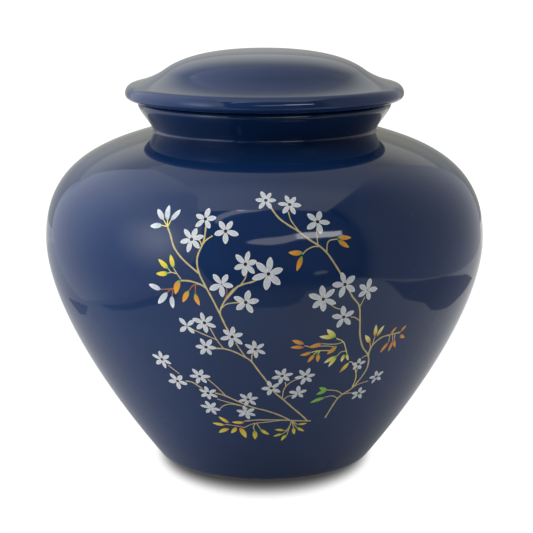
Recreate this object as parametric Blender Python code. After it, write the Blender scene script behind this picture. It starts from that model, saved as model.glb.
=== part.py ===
"""A lidded ceramic urn: a wide hollow jar with a flared collar, and a domed lid that lifts off.

Metres, +Z up. The origin is the centre of the underside, on the surface that the urn stands on.
Both pieces are turned about Z. A turned outline is a list of (radius, height) points.
"""

import math

import bmesh
import bpy
from mathutils import Vector

SEGMENTS = 56  # sides of every turned piece
SWEEP_STEPS = 10  # points along a long curve of an outline
INSIDE_STEPS = 6  # the same, for a curve inside a piece
ROUND_STEPS = 3  # points along a small rounding
MERGE = 1e-6

# The jar's outside, from the foot up; angles are in degrees
FOOT_RADIUS = 0.0456
FOOT_ROUND = 0.0105
WALL_LEAN = 38.5  # from upright, where the wall leaves the foot
BELLY_RADIUS = 0.1080
BELLY_HEIGHT = 0.1130
NECK_RADIUS = 0.0550
SHOULDER_HEIGHT = 0.0525  # from the belly up to the neck
SHOULDER_RISE = 15.5  # from level, where the shoulder meets the neck

# The collar flares out of the neck and carries the lid on its lip
COLLAR_HEIGHT = 0.0139
COLLAR_FLARE = 0.0070
COLLAR_RISE = 64.0  # from level, where the collar meets its rounded lip
COLLAR_ROUND = 0.0016
LIP_WIDTH = 0.0065

# The jar's inside and underside
WALL = 0.0060
FLOOR = 0.0080
THROAT_WALL = 0.0055
MOUTH_ROUND = 0.0012
FOOT_RING_WIDTH = 0.0073
RECESS_DEPTH = 0.0025

# The lid, with heights over its seat
SEAT_GAP = 0.0003
BRIM_OVERHANG = 0.0062  # past the collar's lip
BRIM_WIDTH = 0.0189
BRIM_ROUND_TOP = 0.0044
BRIM_LIFT = 0.0037  # of the brim's widest line
BRIM_UNDERCUT = 0.0060
UNDERCUT_RISE = 12.0  # from level, where the brim's underside leaves the seat
BRIM_FALL = 20.0  # from level, where the brim's top turns over
DOME_HEIGHT = 0.0246
DOME_EDGE_HEIGHT = 0.0145
DOME_EDGE_FALL = 36.0  # from level
LID_WALL = 0.0055
FLANGE_GAP = 0.0010  # between the lid's flange and the throat
FLANGE_DEPTH = 0.0120
FLANGE_WALL = 0.0040
FLANGE_ROUND = 0.0010

# How far each end's direction holds along a sweep, as a share of the straight way
FOOT_HOLD = 0.20
BELLY_HOLD_BELOW = 0.30
BELLY_HOLD_ABOVE = 0.485
SHOULDER_HOLD = 0.355
NECK_HOLD = 0.20
COLLAR_HOLD = 0.35
CROWN_HOLD = 0.52
DOME_EDGE_HOLD = 0.21
HOLLOW_HOLD = 0.32
BRIM_HOLD = 0.40

COBALT_GLAZE = (0.012, 0.026, 0.100, 1.0)
GLAZE_ROUGHNESS = 0.12
SHARP_ANGLE = 50.0


def direction(degrees):
    """A unit step in the outline, by its angle over level; 0 is outwards and 90 is up."""
    angle = math.radians(degrees)
    return Vector((math.cos(angle), math.sin(angle)))


def sweep(start, leave, start_hold, end, arrive, end_hold, steps=SWEEP_STEPS):
    """A cubic curve that leaves start and arrives at end along two directions in degrees."""
    a, d = Vector(start), Vector(end)
    way = (d - a).length
    b = a + start_hold * way * direction(leave)
    c = d - end_hold * way * direction(arrive)
    points = []
    for step in range(steps + 1):
        t = step / steps
        u = 1.0 - t
        points.append(a * u**3 + b * (3 * u * u * t) + c * (3 * u * t * t) + d * t**3)
    return points


def rounding(centre, radius, first, last, steps=ROUND_STEPS):
    """Points of an arc round centre, from one angle to another in degrees."""
    return [
        Vector(centre) + radius * direction(first + (last - first) * step / steps)
        for step in range(steps + 1)
    ]


def inset(points, distance):
    """Moves a run of the outline to its left, which is inwards when it runs up the outside."""
    moved = []
    for index, point in enumerate(points):
        before = points[max(index - 1, 0)]
        after = points[min(index + 1, len(points) - 1)]
        along = (after - before).normalized()
        moved.append(point + distance * Vector((-along.y, along.x)))
    return moved


def neck_height():
    """The crease between the shoulder and the collar."""
    return BELLY_HEIGHT + SHOULDER_HEIGHT


def lip_top():
    """The outer radius and the height of the collar's lip, where the lid rests."""
    return NECK_RADIUS + COLLAR_FLARE, neck_height() + COLLAR_HEIGHT


def throat_radius():
    """The bore of the neck, which the lid's flange enters."""
    return NECK_RADIUS - THROAT_WALL


def jar_wall(steps=SWEEP_STEPS):
    """The jar's outer side from the foot's rounding to the neck: two sweeps that meet at the belly."""
    leave = 90.0 - WALL_LEAN
    foot = Vector((FOOT_RADIUS, FOOT_ROUND)) + FOOT_ROUND * direction(-WALL_LEAN)
    belly = (BELLY_RADIUS, BELLY_HEIGHT)
    neck = (NECK_RADIUS, neck_height())
    arrive = 180.0 - SHOULDER_RISE
    lower = sweep(foot, leave, FOOT_HOLD, belly, 90, BELLY_HOLD_BELOW, steps)
    upper = sweep(belly, 90, BELLY_HOLD_ABOVE, neck, arrive, SHOULDER_HOLD, steps)
    return lower + upper[1:]


def jar_hollow():
    """The inside from the mouth down the throat and the wall to the floor's centre."""
    lip_radius, lip_height = lip_top()
    mouth_centre = (lip_radius - LIP_WIDTH + MOUTH_ROUND, lip_height - MOUTH_ROUND)
    throat = throat_radius()
    wall = [
        point
        for point in reversed(inset(jar_wall(INSIDE_STEPS), WALL))
        if point.x > throat + MERGE and point.y > FLOOR + WALL
    ]
    return [
        *rounding(mouth_centre, MOUTH_ROUND, 90, 180),
        (throat, neck_height() + WALL),
        (throat, wall[0].y + WALL),
        *wall,
        (wall[-1].x - WALL, FLOOR),
        (0.0, FLOOR),
    ]


def jar_outline():
    """Underside, foot ring, outer wall, collar, lip and the hollow inside."""
    lip_radius, lip_height = lip_top()
    foot = rounding((FOOT_RADIUS, FOOT_ROUND), FOOT_ROUND, -90, -WALL_LEAN)
    wall = jar_wall()
    lip_centre = (lip_radius - COLLAR_ROUND, lip_height - COLLAR_ROUND)
    lip = rounding(lip_centre, COLLAR_ROUND, COLLAR_RISE - 90, 90)
    collar = sweep(
        wall[-1], 90, NECK_HOLD, lip[0], COLLAR_RISE, COLLAR_HOLD, ROUND_STEPS + 2
    )
    ring_inner = FOOT_RADIUS - FOOT_RING_WIDTH
    return [
        (0.0, RECESS_DEPTH),
        (ring_inner - RECESS_DEPTH, RECESS_DEPTH),
        (ring_inner, 0.0),
        *foot,
        *wall[1:],
        *collar[1:],
        *lip[1:],
        *jar_hollow(),
    ]


def lid_dome(seat, steps=SWEEP_STEPS):
    """The lid's dome from its crown to where it sweeps out into the brim."""
    crown = (0.0, seat + DOME_HEIGHT)
    edge = (lip_top()[0] + BRIM_OVERHANG - BRIM_WIDTH, seat + DOME_EDGE_HEIGHT)
    return sweep(crown, 0, CROWN_HOLD, edge, -DOME_EDGE_FALL, DOME_EDGE_HOLD, steps)


def lid_underside(seat):
    """The locating flange and the hollow under the dome, up to its centre."""
    outer = throat_radius() - FLANGE_GAP
    inner = outer - FLANGE_WALL
    foot = seat - FLANGE_DEPTH
    toe_centre = (outer - FLANGE_ROUND, foot + FLANGE_ROUND)
    # The dome runs down the lid's outside, so its inner side lies to the right
    ceiling = [
        point
        for point in reversed(inset(lid_dome(seat, INSIDE_STEPS), -LID_WALL))
        if MERGE < point.x < inner
    ]
    return [
        (outer, seat),
        *rounding(toe_centre, FLANGE_ROUND, 0, -90, ROUND_STEPS - 1),
        (inner, foot),
        (inner, ceiling[0].y - LID_WALL),
        *ceiling,
        (0.0, seat + DOME_HEIGHT - LID_WALL),
    ]


def lid_outline():
    """Dome, hollow sweep, thick rounded brim, seat and underside."""
    lip_radius, lip_height = lip_top()
    seat = lip_height + SEAT_GAP
    brim_radius = lip_radius + BRIM_OVERHANG
    widest = seat + BRIM_LIFT
    top_centre = (brim_radius - BRIM_ROUND_TOP, widest)
    brim = rounding(top_centre, BRIM_ROUND_TOP, 90 - BRIM_FALL, 0, ROUND_STEPS + 1)
    under = sweep(
        brim[-1],
        -90,
        BRIM_HOLD,
        (brim_radius - BRIM_UNDERCUT, seat),
        180 + UNDERCUT_RISE,
        BRIM_HOLD,
        ROUND_STEPS + 1,
    )
    dome = lid_dome(seat)
    hollow = sweep(
        dome[-1],
        -DOME_EDGE_FALL,
        HOLLOW_HOLD,
        brim[0],
        -BRIM_FALL,
        HOLLOW_HOLD,
        ROUND_STEPS + 1,
    )
    return [*dome, *hollow[1:], *brim[1:], *under[1:], *lid_underside(seat)]


def glaze(name):
    """Deep blue glossy glaze."""
    material = bpy.data.materials.new(name)
    material.use_nodes = True
    shader = material.node_tree.nodes["Principled BSDF"]
    shader.inputs["Base Color"].default_value = COBALT_GLAZE
    shader.inputs["Roughness"].default_value = GLAZE_ROUGHNESS
    shader.inputs["Metallic"].default_value = 0.0
    return material


def turned(name, outline, material):
    """Spins an outline about Z into one closed piece."""
    work = bmesh.new()
    points = [work.verts.new((radius, 0.0, height)) for radius, height in outline]
    lines = [work.edges.new(pair) for pair in zip(points, points[1:])]
    bmesh.ops.spin(
        work,
        geom=points + lines,
        cent=(0, 0, 0),
        axis=(0, 0, 1),
        angle=math.tau,
        steps=SEGMENTS,
        use_merge=True,
    )
    bmesh.ops.remove_doubles(work, verts=work.verts, dist=MERGE)
    bmesh.ops.recalc_face_normals(work, faces=work.faces)
    mesh = bpy.data.meshes.new(name)
    work.to_mesh(mesh)
    work.free()
    mesh.materials.append(material)
    mesh.shade_smooth()
    mesh.set_sharp_from_angle(angle=math.radians(SHARP_ANGLE))
    piece = bpy.data.objects.new(name, mesh)
    bpy.context.collection.objects.link(piece)
    return piece


for leftover in list(bpy.data.objects):
    bpy.data.objects.remove(leftover)

turned("urn_body", jar_outline(), glaze("body_glaze"))
turned("lid", lid_outline(), glaze("lid_glaze"))
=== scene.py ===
import math
import random

import bmesh
import bpy
from mathutils import Matrix, Vector
from mathutils.geometry import delaunay_2d_cdt


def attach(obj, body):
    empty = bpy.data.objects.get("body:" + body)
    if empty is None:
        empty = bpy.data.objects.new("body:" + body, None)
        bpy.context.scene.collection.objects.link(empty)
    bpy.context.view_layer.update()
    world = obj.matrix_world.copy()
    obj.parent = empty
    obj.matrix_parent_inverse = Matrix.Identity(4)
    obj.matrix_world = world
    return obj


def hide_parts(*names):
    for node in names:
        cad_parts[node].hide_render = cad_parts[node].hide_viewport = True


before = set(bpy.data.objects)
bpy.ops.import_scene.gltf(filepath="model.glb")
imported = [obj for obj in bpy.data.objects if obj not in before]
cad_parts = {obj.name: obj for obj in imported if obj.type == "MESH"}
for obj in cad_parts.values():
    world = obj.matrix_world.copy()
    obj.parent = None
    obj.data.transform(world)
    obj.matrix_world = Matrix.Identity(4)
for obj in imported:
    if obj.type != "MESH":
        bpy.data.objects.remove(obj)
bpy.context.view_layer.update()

# Lengths are in metres, angles in degrees. The front is -Y.
# An outline is a list of (radius, height) points; it is turned about Z.

camera = {
    "distance": 0.85,
    "aside": 0.00095,
    "height": 0.2725,
    "tiltDown": 11.73,
    "lens": 117.25,
    "sensor": 36.0,
    "photoSize": 533,  # pixels, the photo is square
    "clip": (0.05, 20),
    "searchFrom": -0.13, "searchTo": 0.15, "searchStep": 0.0015, "halvings": 30,  # for the glaze along a ray
}


def placeCamera(s):
    data = bpy.data.cameras.new("photoCamera")
    data.lens, data.sensor_width = s["lens"], s["sensor"]
    data.clip_start, data.clip_end = s["clip"]
    eye = bpy.data.objects.new("photoCamera", data)
    eye.location = (s["aside"], -s["distance"], s["height"])
    eye.rotation_euler = (math.radians(90 - s["tiltDown"]), 0, 0)
    bpy.context.collection.objects.link(eye)
    bpy.context.scene.camera = eye


def lineOfSight(px, py, s=camera):
    # the ray through a pixel of the photo
    tilt = math.radians(s["tiltDown"])
    ahead = Vector((0, math.cos(tilt), -math.sin(tilt)))
    up = Vector((0, math.sin(tilt), math.cos(tilt)))
    half = s["photoSize"] / 2
    reach = s["lens"] / s["sensor"] * s["photoSize"]
    way = ahead + Vector((1, 0, 0)) * (px - half) / reach - up * (py - half) / reach
    return Vector((s["aside"], -s["distance"], s["height"])), way.normalized()


placeCamera(camera)
print("camera placed")


# Outlines, from the CAD's own sizes
def heading(angle):
    turn = math.radians(angle)
    return Vector((math.cos(turn), math.sin(turn)))


def sweep(start, leave, startHold, end, arrive, endHold, steps):
    # a cubic curve that leaves and arrives along two headings
    a, d = Vector(start), Vector(end)
    way = (d - a).length
    b = a + startHold * way * heading(leave)
    c = d - endHold * way * heading(arrive)
    points = []
    for step in range(steps + 1):
        t = step / steps
        u = 1 - t
        points.append(a * u**3 + b * (3 * u * u * t) + c * (3 * u * t * t) + d * t**3)
    return points


def arc(centre, radius, first, last, steps):
    return [Vector(centre) + radius * heading(first + (last - first) * i / steps) for i in range(steps + 1)]


def inset(points, distance):
    # to the left of the run, which is inwards when it runs up the outside
    moved = []
    for i, point in enumerate(points):
        along = (points[min(i + 1, len(points) - 1)] - points[max(i - 1, 0)]).normalized()
        moved.append(point + distance * Vector((-along.y, along.x)))
    return moved


def softCorner(before, corner, after, radius, steps=6):
    # an arc that touches both legs of a corner
    arrive, leave = (corner - before).normalized(), (after - corner).normalized()
    turn = math.atan2(arrive.x * leave.y - arrive.y * leave.x, arrive.dot(leave))
    trim = radius * math.tan(abs(turn) / 2)
    side = math.copysign(1, turn)
    centre = corner - arrive * trim + side * radius * Vector((-arrive.y, arrive.x))
    spoke = corner - arrive * trim - centre
    return [centre + Matrix.Rotation(turn * i / steps, 2) @ spoke for i in range(steps + 1)]


def softRun(points, radius):
    # rounds every corner of a short run, and keeps its ends
    points = [Vector(p) for p in points]
    run = [points[0]]
    for before, corner, after in zip(points, points[1:], points[2:]):
        run += softCorner(before, corner, after, radius)
    return run + [points[-1]]


jar = {
    "footRadius": 0.0456, "footRound": 0.0105, "wallLean": 38.5,
    "bellyRadius": 0.1080, "bellyHeight": 0.1130,
    "neckRadius": 0.0550, "neckHeight": 0.1655, "shoulderRise": 15.5,
    "lipRadius": 0.0620, "lipHeight": 0.1794, "lipRound": 0.0016, "collarRise": 64.0,
    "lipWidth": 0.0065, "mouthRound": 0.0012,
    "wall": 0.0060, "floor": 0.0080, "throatWall": 0.0055,
    "ringWidth": 0.0073, "recess": 0.0025, "clayHeight": 0.0009,
    "creaseRound": 0.0013,  # the glaze fills the crease under the collar
    "creaseClear": 1.05,  # the share of the crease's reach that other points stay out of
    "ringEdgeRound": 0.0006, "throatRound": 0.0012, "floorRound": 0.004, "throatClear": 0.001,
    "footHold": 0.20, "bellyHoldBelow": 0.30, "bellyHoldAbove": 0.485,
    "shoulderHold": 0.355, "neckHold": 0.20, "collarHold": 0.35,
    "wallSteps": 62, "footSteps": 12, "lipSteps": 8, "collarSteps": 14, "mouthSteps": 6, "insideSteps": 40,
    "segments": 240,
}


def jarWall(s, steps):
    foot = Vector((s["footRadius"], s["footRound"])) + s["footRound"] * heading(-s["wallLean"])
    belly = (s["bellyRadius"], s["bellyHeight"])
    neck = (s["neckRadius"], s["neckHeight"])
    lower = sweep(foot, 90 - s["wallLean"], s["footHold"], belly, 90, s["bellyHoldBelow"], steps)
    upper = sweep(belly, 90, s["bellyHoldAbove"], neck, 180 - s["shoulderRise"], s["shoulderHold"], steps)
    return lower + upper[1:]


def jarOutline(s):
    # underside, foot ring, outer wall, collar, lip, and down the inside to the floor
    ringInner = s["footRadius"] - s["ringWidth"]
    under = softRun([(0, s["recess"]), (ringInner - s["recess"], s["recess"]), (ringInner, 0),
                     (s["footRadius"], 0)], s["ringEdgeRound"])
    foot = arc((s["footRadius"], s["footRound"]), s["footRound"], -90, -s["wallLean"], s["footSteps"])
    wall = jarWall(s, s["wallSteps"])
    lip = arc((s["lipRadius"] - s["lipRound"], s["lipHeight"] - s["lipRound"]), s["lipRound"],
              s["collarRise"] - 90, 90, s["lipSteps"])
    collar = sweep(wall[-1], 90, s["neckHold"], lip[0], s["collarRise"], s["collarHold"],
                   s["collarSteps"])
    crease = softCorner(wall[-2], wall[-1], collar[1], s["creaseRound"])
    reach = (crease[0] - wall[-1]).length * s["creaseClear"]
    wallKept = [p for p in wall[1:] if (p - wall[-1]).length > reach]
    collarKept = [p for p in collar if (p - wall[-1]).length > reach]
    throat = s["neckRadius"] - s["throatWall"]
    mouthCentre = (s["lipRadius"] - s["lipWidth"] + s["mouthRound"], s["lipHeight"] - s["mouthRound"])
    mouth = arc(mouthCentre, s["mouthRound"], 90, 180, s["mouthSteps"])
    inner = [p for p in reversed(inset(jarWall(s, s["insideSteps"]), s["wall"]))
             if p.x > throat + s["throatClear"] and p.y > s["floor"] + s["wall"]]
    neckInside = softRun([mouth[-1], (throat, s["neckHeight"] + s["wall"]), (throat, inner[0].y + s["wall"]),
                          inner[0]], s["throatRound"])
    bottom = softRun([inner[-1], (inner[-1].x - s["wall"], s["floor"]), (0, s["floor"])], s["floorRound"])
    return [*under[:-1], *foot, *wallKept, *crease, *collarKept, *lip[1:], *mouth, *neckInside[1:],
            *inner[1:], *bottom[1:]]


lidSizes = {
    "seat": 0.1797, "overhang": 0.0062, "brimWidth": 0.0189, "brimRound": 0.0044, "brimLift": 0.0037,
    "undercut": 0.0060, "undercutRise": 12.0, "brimFall": 13.0,
    "domeHeight": 0.0246, "domeEdgeHeight": 0.0145, "domeEdgeFall": 36.0, "wall": 0.0055,
    "flangeGap": 0.0010, "flangeDepth": 0.0120, "flangeWall": 0.0040, "flangeRound": 0.0010,
    "crownHold": 0.52, "domeEdgeHold": 0.21, "hollowHold": 0.32, "brimHold": 0.40,
    "seatStart": 0.004, "axisClear": 0.0005, "flangeClear": 0.001,
    "domeSteps": 40, "brimSteps": 14, "hollowSteps": 16, "undercutSteps": 12, "segments": 240,
}


def lidOutline(s, j):
    # dome, hollow sweep, brim, seat, flange, and the hollow underneath
    seat = s["seat"]
    brimRadius = j["lipRadius"] + s["overhang"]
    widest = seat + s["brimLift"]
    edge = (brimRadius - s["brimWidth"], seat + s["domeEdgeHeight"])
    dome = sweep((0, seat + s["domeHeight"]), 0, s["crownHold"], edge, -s["domeEdgeFall"], s["domeEdgeHold"],
                 s["domeSteps"])
    brim = arc((brimRadius - s["brimRound"], widest), s["brimRound"], 90 - s["brimFall"], 0, s["brimSteps"])
    hollow = sweep(edge, -s["domeEdgeFall"], s["hollowHold"], brim[0], -s["brimFall"], s["hollowHold"],
                   s["hollowSteps"])
    under = sweep(brim[-1], -90, s["brimHold"], (brimRadius - s["undercut"], seat), 180 + s["undercutRise"],
                  s["brimHold"], s["undercutSteps"])
    outer = j["neckRadius"] - j["throatWall"] - s["flangeGap"]
    inner = outer - s["flangeWall"]
    foot = seat - s["flangeDepth"]
    ceiling = [p for p in reversed(inset(dome, -s["wall"]))
               if s["axisClear"] < p.x < inner - s["flangeClear"]]
    flange = softRun([(outer + s["seatStart"], seat), (outer, seat), (outer, foot), (inner, foot),
                      (inner, ceiling[0].y - s["wall"]), ceiling[0]], s["flangeRound"])
    top = (0, seat + s["domeHeight"] - s["wall"])
    run = [*dome, *hollow[1:], *brim[1:], *under[1:], *flange, *ceiling[1:], top]
    return list(reversed(run))


def nodeMaker(tree):
    # gives a function that makes a node, fills or links its inputs in order, and sets its properties by name
    def node(kind, *inputs, **settings):
        made = tree.nodes.new(kind)
        for key, value in settings.items():
            setattr(made, key, value)
        for i, value in enumerate(inputs):
            if isinstance(value, bpy.types.NodeSocket):
                tree.links.new(value, made.inputs[i])
            elif value is not None:
                made.inputs[i].default_value = value
        return made

    return node


# Geometry Nodes turn an outline about Z: a grid whose rows take the outline's points
def turningTree():
    tree = bpy.data.node_groups.new("turnOutline", "GeometryNodeTree")
    for name, kind in (("Outline", "Geometry"), ("Segments", "Int"), ("Weld", "Float")):
        tree.interface.new_socket(name, in_out="INPUT", socket_type="NodeSocket" + kind)
    tree.interface.new_socket("Turned", in_out="OUTPUT", socket_type="NodeSocketGeometry")
    node, link = nodeMaker(tree), tree.links.new

    def maths(operation, *inputs):
        return node("ShaderNodeMath", *inputs, operation=operation).outputs[0]

    given = node("NodeGroupInput").outputs
    rows = node("GeometryNodeAttributeDomainSize", given["Outline"], component="MESH").outputs["Point Count"]
    grid = node("GeometryNodeMeshGrid", 1.0, 1.0, maths("ADD", given["Segments"], 1.0), rows).outputs["Mesh"]
    index = node("GeometryNodeInputIndex").outputs[0]
    column = maths("FLOOR", maths("DIVIDE", index, rows))
    turn = maths("MULTIPLY", maths("DIVIDE", column, given["Segments"]), math.tau)
    sample = node("GeometryNodeSampleIndex", data_type="FLOAT_VECTOR", domain="POINT")
    link(given["Outline"], sample.inputs["Geometry"])
    link(node("GeometryNodeInputPosition").outputs[0], sample.inputs["Value"])
    link(maths("MODULO", index, rows), sample.inputs["Index"])
    point = node("ShaderNodeSeparateXYZ", sample.outputs[0]).outputs
    x = maths("MULTIPLY", point["X"], maths("SINE", turn))
    y = maths("MULTIPLY", maths("MULTIPLY", point["X"], maths("COSINE", turn)), -1.0)
    moved = node("GeometryNodeSetPosition", grid)
    link(node("ShaderNodeCombineXYZ", x, y, point["Z"]).outputs[0], moved.inputs["Position"])
    welded = node("GeometryNodeMergeByDistance", moved.outputs[0])
    link(given["Weld"], welded.inputs["Distance"])
    smooth = node("GeometryNodeSetShadeSmooth", welded.outputs[0]).outputs[0]
    link(smooth, node("NodeGroupOutput").inputs[0])
    return tree


turnOutline = turningTree()


def turned(name, outline, segments, material):
    line = bpy.data.meshes.new(name + "Outline")
    line.from_pydata([(p[0], 0, p[1]) for p in outline], [(i, i + 1) for i in range(len(outline) - 1)], [])
    holder = bpy.data.objects.new(name + "Outline", line)
    bpy.context.collection.objects.link(holder)
    modifier = holder.modifiers.new("turn", "NODES")
    modifier.node_group = turnOutline
    wanted = {"Segments": segments, "Weld": 1e-6}
    for item in turnOutline.interface.items_tree:
        if item.in_out == "INPUT" and item.name in wanted:
            modifier[item.identifier] = wanted[item.name]
    graph = bpy.context.evaluated_depsgraph_get()
    mesh = bpy.data.meshes.new_from_object(holder.evaluated_get(graph), depsgraph=graph)
    mesh.name = name
    mesh.materials.clear()
    mesh.materials.append(material)
    mesh.polygons.foreach_set("material_index", [0] * len(mesh.polygons))
    bpy.data.objects.remove(holder)
    piece = bpy.data.objects.new(name, mesh)
    bpy.context.collection.objects.link(piece)
    return piece


# The outer wall, by height: where a line of sight meets it, and its normal
wallOutline = jarWall(jar, jar["wallSteps"])


def radiusAt(height):
    for low, high in zip(wallOutline, wallOutline[1:]):
        if low.y <= height <= high.y:
            return low.x + (high.x - low.x) * (height - low.y) / (high.y - low.y)
    return 0.0


def normalAt(height, angle):
    step = 0.0008
    lower = max(height - step, wallOutline[0].y)
    upper = min(height + step, wallOutline[-1].y)
    rise, grow = upper - lower, radiusAt(upper) - radiusAt(lower)
    size = math.hypot(rise, grow)
    return Vector((math.sin(angle) * rise / size, -math.cos(angle) * rise / size, -grow / size))


def onGlaze(px, py):
    # the spot of the jar's wall behind a pixel: its angle from the front, its height, and the ray
    eye, way = lineOfSight(px, py)

    def outside(t):
        p = eye + way * t
        return math.hypot(p.x, p.y) - radiusAt(p.z)

    step, near = camera["searchStep"], camera["distance"] + camera["searchFrom"]
    while outside(near) > 0 and near < camera["distance"] + camera["searchTo"]:
        near += step
    low, high = near - step, near
    for _ in range(camera["halvings"]):
        middle = (low + high) / 2
        low, high = (middle, high) if outside(middle) > 0 else (low, middle)
    spot = eye + way * high
    return math.atan2(spot.x, -spot.y), spot.z, spot, way


def mirroredOn(px, py, axis, place):
    # where a highlight seen at this pixel comes from, on the plane with that coordinate
    angle, height, spot, way = onGlaze(px, py)
    normal = normalAt(height, angle)
    bounce = way - 2 * way.dot(normal) * normal
    return spot + bounce * ((place - spot[axis]) / bounce[axis])


print("outlines ready")

# Finishes

glazeLook = {
    "deep": (0.0042, 0.0212, 0.083, 1), "light": (0.0075, 0.0318, 0.115, 1),
    "roughness": (0.045, 0.085), "ior": 1.5,
    "mottle": (38.0, 4), "ripple": (95.0, 1), "rippleDepth": 0.00001,  # scale and detail of each noise
    "neckShade": (0.150, 0.164, 1.0, 0.62),  # painted shade: between two heights the glaze darkens towards the neck, where the lid's brim shades the collar
    "specks": 150.0, "speckSize": 0.028, "speckShare": 0.30, "speckTone": (0.16, 0.20, 0.26, 1),
}

enamelLook = {
    "tone": None, "grain": 900, "grainTones": (0.90, 1.06),
    "sockets": {"Roughness": 0.16, "IOR": 1.5},
}

clayLook = {
    "tone": (0.50, 0.42, 0.31), "grain": 700, "grainTones": (0.80, 1.08),
    "sockets": {"Roughness": 0.8},
}


def newMaterial(name):
    material = bpy.data.materials.new(name)
    material.use_nodes = True
    tree = material.node_tree
    return material, tree, tree.nodes["Principled BSDF"], nodeMaker(tree)


def noise(node, place, scale, detail=2):
    made = node("ShaderNodeTexNoise", place)
    made.inputs["Scale"].default_value, made.inputs["Detail"].default_value = scale, detail
    return made.outputs["Fac"]


def scaled(tree, node, tone, share):
    made = node("ShaderNodeVectorMath", tone, operation="SCALE")
    tree.links.new(share, made.inputs["Scale"])
    return made.outputs[0]


def cobaltGlaze(name, s, neckShaded):
    material, tree, shader, node = newMaterial(name)
    place = node("ShaderNodeTexCoord").outputs["Object"]
    mottle = noise(node, place, *s["mottle"])
    colour = node("ShaderNodeMix", data_type="RGBA")
    tree.links.new(mottle, colour.inputs["Factor"])
    colour.inputs["A"].default_value, colour.inputs["B"].default_value = s["deep"], s["light"]
    # a few pinhole specks, one to a cell, in the cells that a second noise picks
    cells = tree.nodes.new("ShaderNodeTexVoronoi")
    tree.links.new(place, cells.inputs["Vector"])
    cells.inputs["Scale"].default_value = s["specks"]
    near = node("ShaderNodeMath", cells.outputs["Distance"], s["speckSize"], operation="LESS_THAN").outputs[0]
    picked = node("ShaderNodeSeparateColor", cells.outputs["Color"]).outputs[0]
    picked = node("ShaderNodeMath", picked, s["speckShare"], operation="LESS_THAN").outputs[0]
    speck = node("ShaderNodeMath", near, picked, operation="MULTIPLY").outputs[0]
    speckled = node("ShaderNodeMix", data_type="RGBA")
    tree.links.new(speck, speckled.inputs["Factor"])
    tree.links.new(colour.outputs["Result"], speckled.inputs["A"])
    speckled.inputs["B"].default_value = s["speckTone"]
    tone = speckled.outputs["Result"]
    # painted shade: the body's glaze is darkened towards the neck and collar, under the lid's brim
    if neckShaded:
        height = node("ShaderNodeSeparateXYZ", place).outputs["Z"]
        shade = node("ShaderNodeMapRange", height, *s["neckShade"], interpolation_type="SMOOTHSTEP").outputs[0]
        tone = scaled(tree, node, tone, shade)
    tree.links.new(tone, shader.inputs["Base Color"])
    rough = node("ShaderNodeMapRange", mottle, 0.0, 1.0, *s["roughness"])
    tree.links.new(rough.outputs[0], shader.inputs["Roughness"])
    shader.inputs["IOR"].default_value = s["ior"]
    bump = tree.nodes.new("ShaderNodeBump")
    bump.inputs["Distance"].default_value = s["rippleDepth"]
    tree.links.new(noise(node, place, *s["ripple"]), bump.inputs["Height"])
    tree.links.new(bump.outputs[0], shader.inputs["Normal"])
    return material


def grainedFinish(name, s):
    # a fine grain over the finish's own tone, or else over the corner colours of the pattern
    material, tree, shader, node = newMaterial(name)
    tone = s["tone"] or node("ShaderNodeVertexColor", layer_name="paint").outputs["Color"]
    grain = noise(node, node("ShaderNodeTexCoord").outputs["Object"], s["grain"])
    shade = node("ShaderNodeMapRange", grain, 0.3, 0.7, *s["grainTones"]).outputs[0]
    tree.links.new(scaled(tree, node, tone, shade), shader.inputs["Base Color"])
    for socket, value in s["sockets"].items():
        shader.inputs[socket].default_value = value
    return material


bodyGlaze = cobaltGlaze("bodyGlaze", glazeLook, True)
lidGlaze = cobaltGlaze("lidGlaze", glazeLook, False)
blossomSlot, leafSlot, claySlot = 1, 2, 3  # places of the finishes on the jar, after its glaze
print("finishes ready")

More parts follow.
